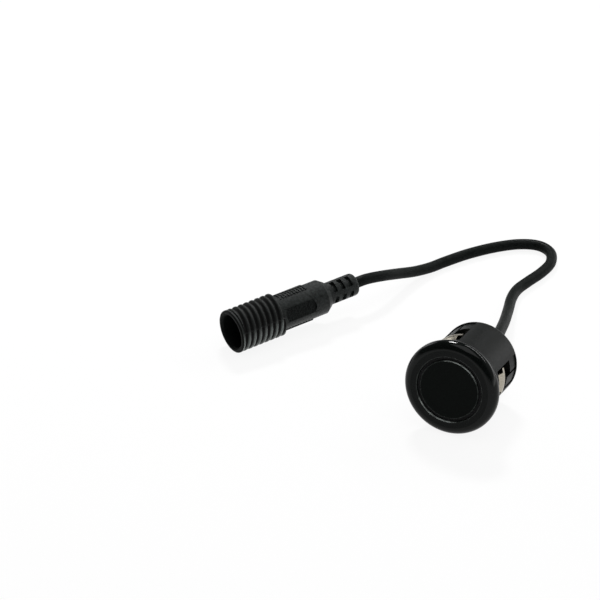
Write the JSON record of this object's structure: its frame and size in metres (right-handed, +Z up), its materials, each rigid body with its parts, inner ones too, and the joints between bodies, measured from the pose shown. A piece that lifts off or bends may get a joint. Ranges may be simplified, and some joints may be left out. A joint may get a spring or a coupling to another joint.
{
  "type": "parking sensor",
  "caption": "Round push-in ultrasonic parking sensor with a flanged glossy head, spring clips in its barrel, and a short captive cable ending in a threaded waterproof socket.",
  "frame": {"origin": "on the floor, at the centre of the head's own box (the cable and its socket left out)", "axes": "+Z up; the head lies on its flange and rear edge with its face to -Y, so +Y runs along the head towards the cable; +X to the right as seen from the face"},
  "size_m": [0.0812, 0.0992, 0.0239],
  "materials": {
    "gloss_black_abs": "gloss moulded",
    "satin_black_abs": "satin moulded",
    "spring_steel": "bright rolled strip",
    "painted_aluminium": "gloss black paint",
    "silicone": "matte",
    "piezo_ceramic": "silvered ceramic",
    "damping_foam": "foam",
    "potting_compound": "cast",
    "wire_insulation": "insulation",
    "soft_rubber": "matte",
    "pvc_jacket": "satin extruded",
    "matte_black_nylon": "matte moulded",
    "matte_black_pvc": "matte moulded",
    "nickel_plate": "nickel plated",
    "copper_lead": "bare copper"
  },
  "bodies": {
    "root": {"housing": "gloss_black_abs", "rear_cover": "satin_black_abs", "clip_right": "spring_steel", "clip_upper": "spring_steel", "clip_lower": "spring_steel", "transducer_cup": "painted_aluminium", "decoupling_ring": "silicone", "piezo_disc": "piezo_ceramic", "damping_pad": "damping_foam", "potting": "potting_compound", "signal_wire": "wire_insulation", "ground_wire": "wire_insulation", "cable_grommet": "soft_rubber", "pigtail_cable": "pvc_jacket", "threaded_sleeve": "matte_black_nylon", "grip_moulding": "matte_black_pvc", "socket_core": "matte_black_nylon", "centre_pin": "nickel_plate", "outer_contact": "nickel_plate", "core_lead": "copper_lead", "shield_lead": "copper_lead"}
  },
  "joints": []
}
